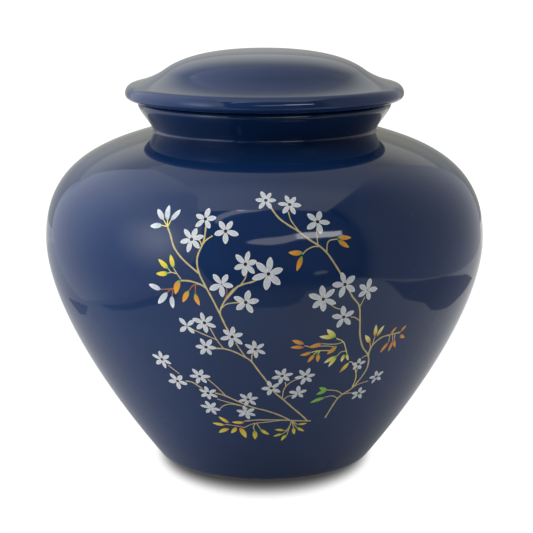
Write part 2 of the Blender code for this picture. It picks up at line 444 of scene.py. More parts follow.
# The blossom sprays, flush with the glaze. Places are pixels of the photo,
# and are carried onto the wall by the line of sight.
pattern = {
    "seed": 11,
    "turnLow": -42.0, "turnHigh": 48.0, "heightLow": 0.014, "heightHigh": 0.157,  # the panel that is cut anew
    "flatRadius": 0.1, "tolerance": 1e-6,  # the panel is cut flat, unrolled at this radius
    "skinDepth": 0.002, "weld": 3e-6,
    "normalsDepth": 0.001, "normalsEnd": 0.002,  # the wall's own normals stop this far below its top
    "petalWidth": 0.236, "petalStart": 0.03, "petalReach": (0.97, 1.15),  # shares of a blossom's radius
    "petalVaries": (0.92, 1.08), "petalSwing": 5, "petalCurve": (1.2, 0.64), "petalSteps": 11,
    "rimWidth": 0.26, "rimFrom": 0.72, "rimPull": 0.6, "narrowest": 0.05,  # shares of a petal's half width
    "petalInk": (0.66, 0.70, 0.74), "rimInk": (0.93, 0.95, 0.96),
    "centreInk": (0.030, 0.024, 0.020), "centreRadius": 0.00082, "centreSteps": 12,
    "stemInks": {"stem": (0.60, 0.50, 0.24), "twig": (0.60, 0.50, 0.24), "yellow": (0.80, 0.72, 0.18),
                 "red": (0.34, 0.13, 0.065)},
    "stemWidth": 0.00076, "twigWidth": 0.00050, "stemSteps": 4, "stemWavers": (0.12, 1.7),
    "leafCurve": (0.88, 0.80), "budCurve": (0.88, 0.62), "leafBow": 0.05, "leafSteps": 11,
    # where a leaf's middle colour starts, then the start and the length of each blend
    "leafBlends": (0.30, 0.10, 0.20, 0.45, 0.5),
    # each leaf's colours from its base to its tip
    "leafInks": {
        "yellow": [(0.12, 0.48, 0.07), (0.78, 0.62, 0.05), (0.90, 0.78, 0.07)],
        "gold": [(0.74, 0.28, 0.04), (0.80, 0.60, 0.05), (0.90, 0.78, 0.09)],
        "orange": [(0.16, 0.46, 0.06), (0.78, 0.33, 0.04), (0.88, 0.43, 0.05)],
        "rust": [(0.50, 0.17, 0.06), (0.76, 0.32, 0.06), (0.88, 0.44, 0.07)],
        "paleTip": [(0.20, 0.50, 0.07), (0.78, 0.72, 0.12), (0.92, 0.90, 0.62)],
        "brownTip": [(0.62, 0.22, 0.04), (0.80, 0.66, 0.12), (0.92, 0.90, 0.64)],
        "sunset": [(0.78, 0.72, 0.14), (0.82, 0.62, 0.07), (0.74, 0.28, 0.05)],
        "green": [(0.18, 0.44, 0.07), (0.24, 0.54, 0.06), (0.30, 0.62, 0.08)],
        "bud": [(0.54, 0.60, 0.64), (0.58, 0.65, 0.70), (0.80, 0.85, 0.88)],
    },
}

# x, y, petals, turn of the first petal, radius in millimetres, dark centre
blossoms = [
    (205.3, 219.0, 5, 82, 5.0, 1), (191.5, 239.3, 6, 73, 5.4, 1), (225.6, 231.1, 5, 57, 5.3, 1),
    (245.4, 264.3, 6, 79, 5.3, 1), (268.5, 274.0, 6, 80, 6.9, 1), (221.5, 284.3, 5, 60, 5.4, 0),
    (245.8, 302.5, 5, 80, 5.4, 1), (186.9, 326.0, 4, 40, 4.4, 0), (204.4, 322.9, 6, 100, 5.0, 1),
    (232.1, 336.9, 6, 78, 5.2, 1), (206.0, 347.1, 6, 57, 4.7, 1), (255.4, 349.3, 6, 95, 4.6, 1),
    (162.0, 359.3, 6, 96, 4.8, 1), (177.6, 381.0, 5, 52, 4.7, 1), (199.6, 376.4, 6, 62, 4.6, 1),
    (208.1, 393.1, 6, 95, 4.3, 1), (210.7, 407.9, 6, 50, 4.4, 0), (248.1, 399.4, 6, 76, 4.3, 1),
    (246.1, 412.6, 6, 100, 4.4, 0), (271.3, 388.3, 5, 112, 4.5, 1), (282.1, 376.0, 6, 76, 4.5, 1),
    (305.6, 376.6, 6, 70, 4.6, 1), (297.9, 392.9, 5, 95, 4.0, 0),
    (265.8, 200.3, 6, 57, 4.7, 1), (289.7, 204.5, 6, 50, 4.9, 1), (317.5, 221.7, 5, 66, 5.2, 1),
    (345.0, 284.5, 5, 108, 5.6, 1), (367.5, 290.0, 5, 73, 5.0, 0), (323.3, 299.2, 6, 97, 6.2, 1),
    (343.7, 317.0, 5, 98, 5.5, 1), (358.3, 364.3, 5, 90, 3.5, 1), (376.3, 376.7, 5, 38, 3.9, 1),
    (358.7, 393.5, 5, 88, 3.8, 1),
]

# base x, y, tip x, y, width in millimetres, colours
leaves = [
    (161.9, 225.3, 150.3, 226.1, 2.5, "bud"), (163.5, 219.6, 157.9, 209.0, 2.5, "bud"),
    (167.5, 220.3, 169.4, 204.9, 2.5, "bud"), (171.0, 220.3, 180.6, 209.5, 2.4, "bud"),
    (160.6, 289.3, 148.8, 284.3, 2.5, "bud"), (167.3, 292.6, 158.1, 303.6, 2.7, "bud"),
    (171.9, 296.1, 173.1, 308.3, 2.4, "bud"),
    (173.5, 268.3, 170.4, 254.3, 2.2, "yellow"), (168.5, 268.8, 158.4, 258.9, 2.3, "yellow"),
    (168.5, 273.0, 156.0, 273.6, 2.2, "yellow"),
    (179.4, 279.9, 175.4, 294.3, 2.9, "orange"), (188.8, 290.5, 182.9, 302.3, 2.4, "orange"),
    (195.0, 293.3, 199.5, 305.5, 2.2, "orange"),
    (229.3, 423.1, 218.6, 416.4, 2.0, "gold"), (225.0, 425.0, 212.6, 422.9, 2.0, "gold"),
    (229.3, 428.6, 218.9, 432.6, 2.2, "gold"), (244.6, 422.1, 231.9, 422.1, 1.9, "gold"),
    (236.4, 427.1, 231.1, 433.1, 2.1, "gold"), (240.0, 427.4, 246.1, 437.9, 2.7, "gold"),
    (254.7, 430.3, 255.0, 439.3, 2.3, "yellow"), (260.0, 428.9, 269.3, 434.7, 1.9, "yellow"),
    (284.7, 430.7, 274.7, 429.7, 1.5, "yellow"), (282.9, 433.6, 273.1, 436.4, 1.5, "yellow"),
    (287.1, 434.3, 281.1, 440.7, 1.7, "yellow"), (293.6, 427.4, 294.3, 434.3, 1.7, "yellow"),
    (296.4, 427.1, 304.0, 431.1, 1.6, "yellow"), (297.1, 424.3, 307.1, 423.1, 1.3, "yellow"),
    (337.5, 237.5, 351.3, 237.5, 2.1, "orange"), (337.8, 240.0, 349.2, 247.5, 2.2, "orange"),
    (303.0, 252.5, 288.3, 252.5, 2.3, "orange"), (302.0, 255.8, 296.7, 271.2, 2.2, "orange"),
    (335.8, 337.5, 327.0, 329.2, 2.5, "paleTip"), (334.2, 337.5, 319.2, 336.7, 2.2, "paleTip"),
    (322.5, 343.3, 308.7, 347.5, 2.2, "rust"), (304.2, 344.2, 292.0, 340.3, 2.1, "rust"),
    (304.2, 347.5, 290.3, 347.5, 1.8, "rust"), (336.7, 345.8, 327.0, 354.2, 2.2, "orange"),
    (311.7, 352.0, 300.0, 355.3, 1.7, "orange"), (314.2, 354.2, 307.5, 362.5, 1.8, "orange"),
    (318.0, 353.7, 317.5, 362.0, 1.9, "orange"), (336.7, 355.8, 323.7, 363.3, 2.0, "paleTip"),
    (336.7, 356.7, 328.3, 367.0, 1.8, "paleTip"), (344.2, 354.2, 341.3, 362.0, 1.7, "paleTip"),
    (346.7, 353.3, 348.3, 360.3, 1.4, "paleTip"), (348.7, 362.5, 339.5, 372.5, 2.0, "sunset"),
    (374.7, 336.7, 376.2, 324.7, 1.9, "brownTip"), (376.7, 336.7, 384.2, 325.3, 1.8, "brownTip"),
    (370.0, 343.3, 365.3, 335.0, 2.1, "brownTip"),
    (390.3, 335.0, 396.7, 327.0, 1.4, "rust"), (400.8, 331.7, 406.2, 325.3, 1.5, "rust"),
    (400.0, 334.7, 404.5, 337.5, 1.9, "rust"), (394.2, 339.2, 395.0, 347.5, 1.5, "rust"),
    (392.5, 340.8, 388.0, 351.7, 1.6, "rust"), (388.8, 341.7, 380.0, 352.8, 1.8, "rust"),
    (327.0, 389.7, 319.2, 387.5, 2.0, "green"), (327.0, 389.9, 316.3, 394.7, 2.0, "green"),
    (325.0, 397.5, 310.0, 403.0, 2.1, "green"),
]

# kind, then the points that a stem or twig passes
stems = [
    ("stem", (206, 226), (204.4, 238), (201.9, 245.5), (198.1, 254.3), (196.9, 261.8), (199, 273),
     (206.3, 288), (212.5, 299.3), (220, 314.3), (225, 325), (229, 332)),
    ("stem", (167.5, 226.5), (170.6, 235.5), (173.8, 246.8), (180.6, 256.8), (188.8, 264.9), (199, 273.4)),
    ("stem", (206.3, 288), (200, 284.3), (190, 281.1), (180.6, 280.5)),
    ("stem", (220, 314.3), (220.6, 309.3), (225, 300.5), (232.5, 290.5), (241.3, 284.9), (252.5, 281.8),
     (261.5, 277.4)),
    ("stem", (215, 348.3), (225, 348.9), (235, 352.1), (245, 357.1), (251.4, 361.4), (257.9, 370),
     (265.7, 380), (273.6, 391.4), (282.9, 399.3), (293.6, 408.6), (302.1, 415.7), (307.1, 420.7)),
    ("stem", (215, 392.9), (225, 395.7), (236.4, 400.7), (252.1, 407.1), (266.4, 410.7), (280.7, 415.7),
     (290.7, 420.7)), ("stem", (244.3, 421.1), (259.3, 419.9), (280.7, 420), (296, 420.7), (310.7, 420.9)),
    ("stem", (270.3, 206.7), (278.3, 217.5), (288.3, 225), (299.2, 231.7), (310, 240), (319.2, 245.8),
     (326.7, 252.5), (333.3, 261.7), (340, 272.5), (344, 281)),
    ("stem", (348.3, 288.3), (352.5, 296.7), (359.2, 305.8), (360, 320), (360, 335), (362.5, 346.7),
     (368.3, 355.8), (367.5, 366.7), (361.7, 376.7), (351.7, 388.3), (342.5, 394.2), (335.8, 400.8),
     (325, 417.8)), ("twig", (235.7, 342.9), (240, 349.3), (245.6, 357)),
    ("twig", (210, 327.9), (216.4, 339.3), (223.6, 348.6)),
    ("twig", (189.3, 327.9), (202.1, 333.6), (217.1, 340)),
    ("twig", (254.3, 350.7), (251.9, 355.7), (251.9, 361.4)),
    ("twig", (302.1, 377.9), (292.1, 381.4), (284.3, 388.6), (282.1, 398.6)),
    ("twig", (285.3, 382.1), (285.9, 386.8)), ("twig", (293.6, 395.4), (287.9, 396.4), (283.4, 399.8)),
    ("twig", (167.9, 365), (179.3, 373.6)), ("stem", (185.7, 381), (192.9, 382.4), (202.1, 388.6)),
    ("twig", (217.1, 398.9), (225, 401.4), (239.3, 405), (247.9, 408.6)),
    ("twig", (207.9, 379.3), (216.4, 386.4), (222.9, 392.9), (226, 396)),
    ("twig", (220, 408.6), (223.6, 405.7), (230.7, 404), (242.1, 406)),
    ("twig", (243.6, 427.9), (253.6, 423.6), (266.4, 422.1), (282, 420.2)),
    ("twig", (225, 424.3), (233.6, 425.4), (243.6, 427.2)),
    ("twig", (255.4, 423.2), (253.4, 427), (254.6, 430.6)), ("twig", (256.4, 423), (260.4, 429)),
    ("twig", (291.6, 420.8), (288.6, 428.2), (284.2, 431)),
    ("twig", (290.4, 424.6), (287, 430.4), (282.6, 433.8)), ("twig", (289.8, 426), (287, 434.6)),
    ("twig", (291.9, 421), (293.6, 427.6)), ("twig", (292.4, 421.6), (296.6, 427.2)),
    ("twig", (293, 421.4), (297.3, 424.4)), ("yellow", (201.9, 245.5), (206.3, 239.9), (212.5, 235.8)),
    ("yellow", (201.9, 245.5), (200, 241.1), (196.5, 238.6)), ("stem", (225.4, 300), (238, 286.2)),
    ("twig", (240.6, 284.9), (245, 278.6), (247.3, 270.5)),
    ("red", (225, 299.3), (226.9, 293), (226.3, 286.1)),
    ("twig", (221, 308.6), (226.3, 304.3), (233.8, 302.8), (243.1, 302.8)),
    ("yellow", (167.5, 226.5), (161.7, 225.3)), ("yellow", (167.5, 226.2), (163.4, 219.4)),
    ("yellow", (167.5, 226), (167.5, 220)), ("yellow", (167.8, 226.4), (171.1, 220)),
    ("twig", (180.8, 279), (176.9, 273.6), (173.6, 268.2)),
    ("twig", (176.3, 273.6), (171.3, 272.4), (168.4, 273)), ("twig", (170.8, 272.2), (168.4, 268.7)),
    ("red", (198.8, 284), (193.1, 285.5), (189, 290.5)), ("red", (195.3, 284.6), (195.4, 293.4)),
    ("red", (177, 287.6), (168.8, 289), (160.6, 289.3)), ("red", (175, 287.9), (170, 289.9), (167.2, 292.8)),
    ("red", (172.4, 289.2), (172.8, 292), (172.1, 296.2)),
    ("twig", (288.3, 211.7), (290.8, 220), (296.7, 228.3), (300, 232.2)),
    ("twig", (317, 227.5), (316.7, 235), (318, 244.6)),
    ("twig", (326.7, 252.5), (327.5, 243.3), (330.8, 240), (337.6, 239)),
    ("twig", (319.4, 246.4), (313.3, 246.7), (306.7, 250), (302.4, 254.4)),
    ("twig", (365, 296.7), (361.7, 303.3), (359.5, 307)), ("twig", (350.8, 317), (355, 317.5), (360, 321)),
    ("twig", (329.2, 303.3), (335, 307.5), (341, 309.4)),
    ("stem", (368.3, 355.8), (370.8, 347.5), (380, 338.3), (390, 334.7), (400.4, 332.2)),
    ("twig", (395, 334), (394.4, 339.4)), ("twig", (392.6, 334.4), (392.7, 341)),
    ("twig", (390, 334.8), (388.7, 341.8)), ("twig", (369, 353), (372.4, 344.6), (374.9, 336.6)),
    ("twig", (370.4, 349.6), (370.2, 343)),
    ("yellow", (336.4, 338.4), (343.3, 341.7), (345.8, 349), (347.5, 356.7)),
    ("yellow", (349.2, 361.9), (352.4, 362.6), (355.4, 370), (355.8, 378.3), (352, 387.6)),
    ("twig", (361.7, 358.3), (365, 356), (368.3, 355.8)), ("twig", (357.8, 367.6), (356, 373)),
    ("twig", (343, 342), (335, 344.2), (322.4, 343.7)), ("twig", (309.2, 346.6), (304, 345.8)),
    ("twig", (334.6, 347), (327.4, 346), (317, 346.4)),
    ("yellow", (330.4, 350.6), (322, 350.6), (316.7, 351), (311.4, 352.4)),
    ("yellow", (318.4, 350.8), (314, 354.4)), ("yellow", (320, 350.8), (318, 354)),
    ("twig", (346.2, 351), (341, 352), (336.6, 356.4)),
    ("twig", (368.3, 380.8), (358.3, 384.2), (352, 388.2)),
    ("twig", (353.3, 393), (348.3, 393), (342.5, 394.4)),
    ("twig", (327, 389.9), (336.7, 390.8), (342.5, 394.2)),
    ("twig", (325, 397.2), (332.5, 395.8), (337.8, 398.6)),
]

wallLengths = [0.0]
for low, high in zip(wallOutline, wallOutline[1:]):
    wallLengths.append(wallLengths[-1] + (high - low).length)


def lengthAtHeight(height):
    for i, (low, high) in enumerate(zip(wallOutline, wallOutline[1:])):
        if low.y <= height <= high.y:
            share = (height - low.y) / (high.y - low.y)
            return wallLengths[i] + share * (wallLengths[i + 1] - wallLengths[i])
    return 0.0


def wallPoint(length):
    for i in range(len(wallOutline) - 1):
        if length <= wallLengths[i + 1] or i == len(wallOutline) - 2:
            share = (length - wallLengths[i]) / (wallLengths[i + 1] - wallLengths[i])
            return wallOutline[i].lerp(wallOutline[i + 1], share)


def spotOf(px, py):
    # a pixel as its turn from the front and its length up the wall
    angle, height = onGlaze(px, py)[:2]
    return angle, lengthAtHeight(height)


def beside(spot, x, y):
    # a step of x round the jar and y up the wall
    return spot[0] + x / wallPoint(spot[1]).x, spot[1] + y


def offset(spot, other):
    # the step from one spot to another, in metres
    return Vector(((other[0] - spot[0]) * wallPoint(spot[1]).x, other[1] - spot[1]))


def smoothPath(points, steps):
    # a Catmull-Rom curve through the points
    ends = [2 * points[0] - points[1], *points, 2 * points[-1] - points[-2]]
    path = []
    for a, b, c, d in zip(ends, ends[1:], ends[2:], ends[3:]):
        for i in range(steps):
            t = i / steps
            path.append(0.5 * (2 * b + (c - a) * t + (2 * a - 5 * b + 4 * c - d) * t * t
                               + (3 * b - a - 3 * c + d) * t**3))
    return path + [points[-1]]


def blend(a, b, share):
    share = min(max(share, 0), 1)
    return tuple(p + (q - p) * share for p, q in zip(a, b))


def petalWidth(run, power, fullness):
    # full a little past the middle
    wide = max(math.sin(math.pi * min(max(run, 0.0), 1.0) ** power), 0.0)
    return wide**fullness


def petalShapes(s, dice, px, py, count, turn, radius, centre):
    middle = spotOf(px, py)
    radius /= 1000
    steps, swing, curve = s["petalSteps"], s["petalSwing"], s["petalCurve"]
    shapes = []
    for i in range(count):
        reach = radius * dice.uniform(*s["petalReach"])
        base = radius * s["petalStart"]
        half = radius * s["petalWidth"] * min(5 / count, 1) ** 0.5 * dice.uniform(*s["petalVaries"])
        aim = math.radians(turn + 360 * i / count + dice.uniform(-swing, swing))
        along, across = Vector((math.cos(aim), math.sin(aim))), Vector((-math.sin(aim), math.cos(aim)))

        def outline(shrink):
            ring = []
            for k in range(2 * steps):
                run = k / steps if k < steps else (2 * steps - k) / steps
                side = 1 if k < steps else -1
                place = base + (reach - base) * (0.5 + (run - 0.5) * (1 - shrink * s["rimPull"]))
                ring.append(along * place + across * side * half * petalWidth(run, *curve) * (1 - shrink))
            return ring

        def ink(spot, along=along, across=across, base=base, reach=reach, half=half):
            step = offset(middle, spot)
            run = (step.dot(along) - base) / (reach - base)
            wide = half * max(petalWidth(run, *curve), s["narrowest"])
            edge = max(abs(step.dot(across)) / wide, (run - 0.5) * 2)
            return blend(s["petalInk"], s["rimInk"], (edge - s["rimFrom"]) / s["rimWidth"])

        for shrink in (0, s["rimWidth"]):
            ring = [beside(middle, *p) for p in outline(shrink)]
            shapes.append({"ring": ring, "ink": ink, "finish": blossomSlot, "rank": 3})
    if centre:
        turns = [k * math.tau / s["centreSteps"] for k in range(s["centreSteps"])]
        ring = [beside(middle, *(s["centreRadius"] * Vector((math.cos(t), math.sin(t))))) for t in turns]
        shapes.append({"ring": ring, "ink": lambda spot: s["centreInk"], "finish": leafSlot, "rank": 4})
    return shapes


def leafShape(s, dice, baseX, baseY, tipX, tipY, width, colours):
    base, tip = spotOf(baseX, baseY), spotOf(tipX, tipY)
    way = offset(base, tip)
    along = way.normalized()
    across = Vector((-along.y, along.x))
    half, bow = width / 2000, dice.uniform(-s["leafBow"], s["leafBow"]) * way.length
    inks = s["leafInks"][colours]
    power, fullness = s["budCurve"] if colours == "bud" else s["leafCurve"]
    middle, first, firstLength, second, secondLength = s["leafBlends"]

    def edge(t, side):
        wide = math.sin(math.pi * t**power) ** fullness * half * side
        return beside(base, *(along * t * way.length + across * (wide + bow * math.sin(math.pi * t))))

    def ink(spot):
        t = offset(base, spot).dot(along) / way.length
        if t < middle:
            return blend(inks[0], inks[1], (t - first) / firstLength)
        return blend(inks[1], inks[2], (t - second) / secondLength)

    steps = s["leafSteps"]
    ring = [edge(i / steps, -1) for i in range(steps)] + [edge(1 - i / steps, 1) for i in range(steps)]
    return {"ring": ring, "ink": ink, "finish": blossomSlot if colours == "bud" else leafSlot, "rank": 2}


def stemShape(s, kind, *places):
    points = [Vector(spotOf(*p)) for p in places]
    path = smoothPath(points, s["stemSteps"])
    swell, pace = s["stemWavers"]
    width = s["stemWidth"] if kind == "stem" else s["twigWidth"]
    colour = s["stemInks"][kind]
    left, right = [], []
    for i, spot in enumerate(path):
        way = offset(path[max(i - 1, 0)], path[min(i + 1, len(path) - 1)]).normalized()
        side = Vector((-way.y, way.x)) * width / 2 * (1 + swell * math.sin(i * pace))
        left.append(beside(spot, *side))
        right.append(beside(spot, *-side))
    return {"ring": left + right[::-1], "ink": lambda spot: colour, "finish": leafSlot, "rank": 1}


def patternShapes(s):
    dice = random.Random(s["seed"])
    shapes = [stemShape(s, *stem) for stem in stems]
    shapes += [leafShape(s, dice, *leaf) for leaf in leaves]
    for blossom in blossoms:
        shapes += petalShapes(s, dice, *blossom)
    return shapes


def inPanel(middle, turns, heights):
    # whether a face lies in the outer wall, between two turns and two heights
    around = math.hypot(middle.x, middle.y)
    return (turns[0] < math.atan2(middle.x, -middle.y) < turns[1] and heights[0] < middle.z < heights[1]
            and abs(around - radiusAt(middle.z)) < pattern["skinDepth"])


def inlayPattern(piece, s, shapes):
    # cuts the shapes into the front of the wall, flush with the glaze, as faces of the same skin
    step = math.tau / jar["segments"]
    firstTurn, lastTurn = (round(math.radians(s[side]) / step) for side in ("turnLow", "turnHigh"))
    rows = [i for i, p in enumerate(wallOutline) if s["heightLow"] < p.y < s["heightHigh"]]
    firstRow, lastRow = rows[0], rows[-1]
    spots = []

    def addSpot(turn, length):
        spots.append((turn, length))
        return len(spots) - 1

    loop = [(turn * step, wallLengths[firstRow]) for turn in range(firstTurn, lastTurn)]
    loop += [(lastTurn * step, wallLengths[row]) for row in range(firstRow, lastRow)]
    loop += [(turn * step, wallLengths[lastRow]) for turn in range(lastTurn, firstTurn, -1)]
    loop += [(firstTurn * step, wallLengths[row]) for row in range(lastRow, firstRow, -1)]
    borders = [addSpot(*spot) for spot in loop]
    edges = [(borders[i], borders[(i + 1) % len(borders)]) for i in range(len(borders))]
    for row in range(firstRow + 1, lastRow):
        for turn in range(firstTurn + 1, lastTurn):
            aside = 0.5 if row % 2 and turn < lastTurn - 1 else 0
            addSpot((turn + aside) * step, wallLengths[row])
    rings = []
    for shape in shapes:
        ring = shape["ring"]
        area = sum(a[0] * b[1] - b[0] * a[1] for a, b in zip(ring, ring[1:] + ring[:1]))
        rings.append([addSpot(*spot) for spot in (ring if area > 0 else ring[::-1])])
    flatRadius, everyTriangle = s["flatRadius"], 0
    flat = [Vector((turn * flatRadius, length)) for turn, length in spots]
    made = delaunay_2d_cdt(flat, edges, rings, everyTriangle, s["tolerance"], True)
    places, triangles, cameFrom = made[0], made[2], made[5]

    work = bmesh.new()
    work.from_mesh(piece.data)
    turns, heights = (firstTurn * step, lastTurn * step), (wallOutline[firstRow].y, wallOutline[lastRow].y)
    doomed = [face for face in work.faces if inPanel(face.calc_center_median(), turns, heights)]
    bmesh.ops.delete(work, geom=doomed, context="FACES")
    rim = {v for e in work.edges if e.is_boundary for v in e.verts}
    paint = work.loops.layers.float_color.new("paint")
    unrolled = [(p.x / flatRadius, p.y) for p in places]
    fresh = []
    for turn, length in unrolled:
        point = wallPoint(length)
        fresh.append(work.verts.new((point.x * math.sin(turn), -point.x * math.cos(turn), point.y)))
    for triangle, sources in zip(triangles, cameFrom):
        face = work.faces.new([fresh[i] for i in triangle])
        face.smooth = True
        owners = [shapes[i] for i in sources]
        if owners:
            top = max(owners, key=lambda shape: shape["rank"])
            face.material_index = top["finish"]
            for corner, i in zip(face.loops, triangle):
                corner[paint] = (*top["ink"](unrolled[i]), 1)
    edgeSpots = [v for v in fresh if any(e.is_boundary for e in v.link_edges)]
    bmesh.ops.remove_doubles(work, verts=list(rim) + edgeSpots, dist=s["weld"])
    loose = [v for v in work.verts if not v.link_faces]
    bmesh.ops.delete(work, geom=loose, context="VERTS")
    openEdges = sum(e.is_boundary for e in work.edges)
    if openEdges:
        raise RuntimeError(f"the front panel leaves {openEdges} open edges")
    work.to_mesh(piece.data)
    work.free()


def trueNormals(piece):
    # the wall's own normals, so that the small faces of the pattern don't show in the gloss
    low, high = wallOutline[1].y, wallOutline[-1].y - pattern["normalsEnd"]
    normals = []
    for vertex in piece.data.vertices:
        x, y, z = vertex.co
        if low < z < high and abs(math.hypot(x, y) - radiusAt(z)) < pattern["normalsDepth"]:
            normals.append(normalAt(z, math.atan2(x, -y)))
        else:
            normals.append((0, 0, 0))
    piece.data.normals_split_custom_set_from_vertices(normals)


mapPlaces = {"margin": 0.01, "height": 0.98, "panelWidth": 0.75, "stripStart": 0.78, "stripWidth": 0.21}


def bakeMap(piece, s, m):
    # most of the map goes to the panel with the sprays, and the rest of the skin shares a strip at its side
    line = jarOutline(jar)
    lengths = [0.0]
    for a, b in zip(line, line[1:]):
        lengths.append(lengths[-1] + (Vector(b) - Vector(a)).length)
    known = {}

    def share(radius, height):
        key = (round(radius, 5), round(height, 5))
        if key not in known:
            best = None
            for i, (a, b) in enumerate(zip(line, line[1:])):
                leg, step = Vector(b) - Vector(a), Vector((radius, height)) - Vector(a)
                t = min(max(step.dot(leg) / max(leg.length_squared, 1e-12), 0), 1)
                off = (step - leg * t).length
                if best is None or off < best[0] - 1e-9:
                    best = (off, (lengths[i] + t * leg.length) / lengths[-1])
            known[key] = best[1]
        return known[key]

    firstTurn, lastTurn = math.radians(s["turnLow"]), math.radians(s["turnHigh"])
    rows = [p.y for p in wallOutline if s["heightLow"] < p.y < s["heightHigh"]]
    low, high = lengthAtHeight(rows[0]), lengthAtHeight(rows[-1])
    mesh = piece.data
    spots = [(math.atan2(v.co.x, -v.co.y), math.hypot(v.co.x, v.co.y), v.co.z) for v in mesh.vertices]
    places = [0.0] * (2 * len(mesh.loops))
    for face in mesh.polygons:
        turn = math.atan2(face.center.x, -face.center.y)
        front = inPanel(face.center, (firstTurn, lastTurn), (rows[0], rows[-1]))
        for loop in face.loop_indices:
            angle, radius, height = spots[mesh.loops[loop].vertex_index]
            if radius < 1e-5:
                angle = turn
            angle = turn + (angle - turn + math.pi) % math.tau - math.pi
            if front:
                u = m["margin"] + m["panelWidth"] * (angle - firstTurn) / (lastTurn - firstTurn)
                up = (lengthAtHeight(height) - low) / (high - low)
            else:
                u = m["stripStart"] + m["stripWidth"] * (angle / math.tau + 0.5)
                up = share(radius, height)
            places[2 * loop], places[2 * loop + 1] = u, m["margin"] + m["height"] * up
    mesh.uv_layers.new(name="OFBake").data.foreach_set("uv", places)


# Pieces

body = turned("urnBody", jarOutline(jar), jar["segments"], bodyGlaze)
for name, look in (("blossomEnamel", enamelLook), ("leafEnamel", enamelLook), ("footClay", clayLook)):
    body.data.materials.append(grainedFinish(name, look))
inlayPattern(body, pattern, patternShapes(pattern))
trueNormals(body)
for face in body.data.polygons:
    if face.center.z < jar["clayHeight"]:
        face.material_index = claySlot
print("blossom sprays laid in:", len(body.data.polygons), "faces")
lid = turned("urnLid", lidOutline(lidSizes, jar), lidSizes["segments"], lidGlaze)
bakeMap(body, pattern, mapPlaces)
for piece, node, slot in ((body, "urn_body", "body_glaze"), (lid, "lid", "lid_glaze")):
    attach(piece, "root")
    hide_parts(node)
print("pieces turned")

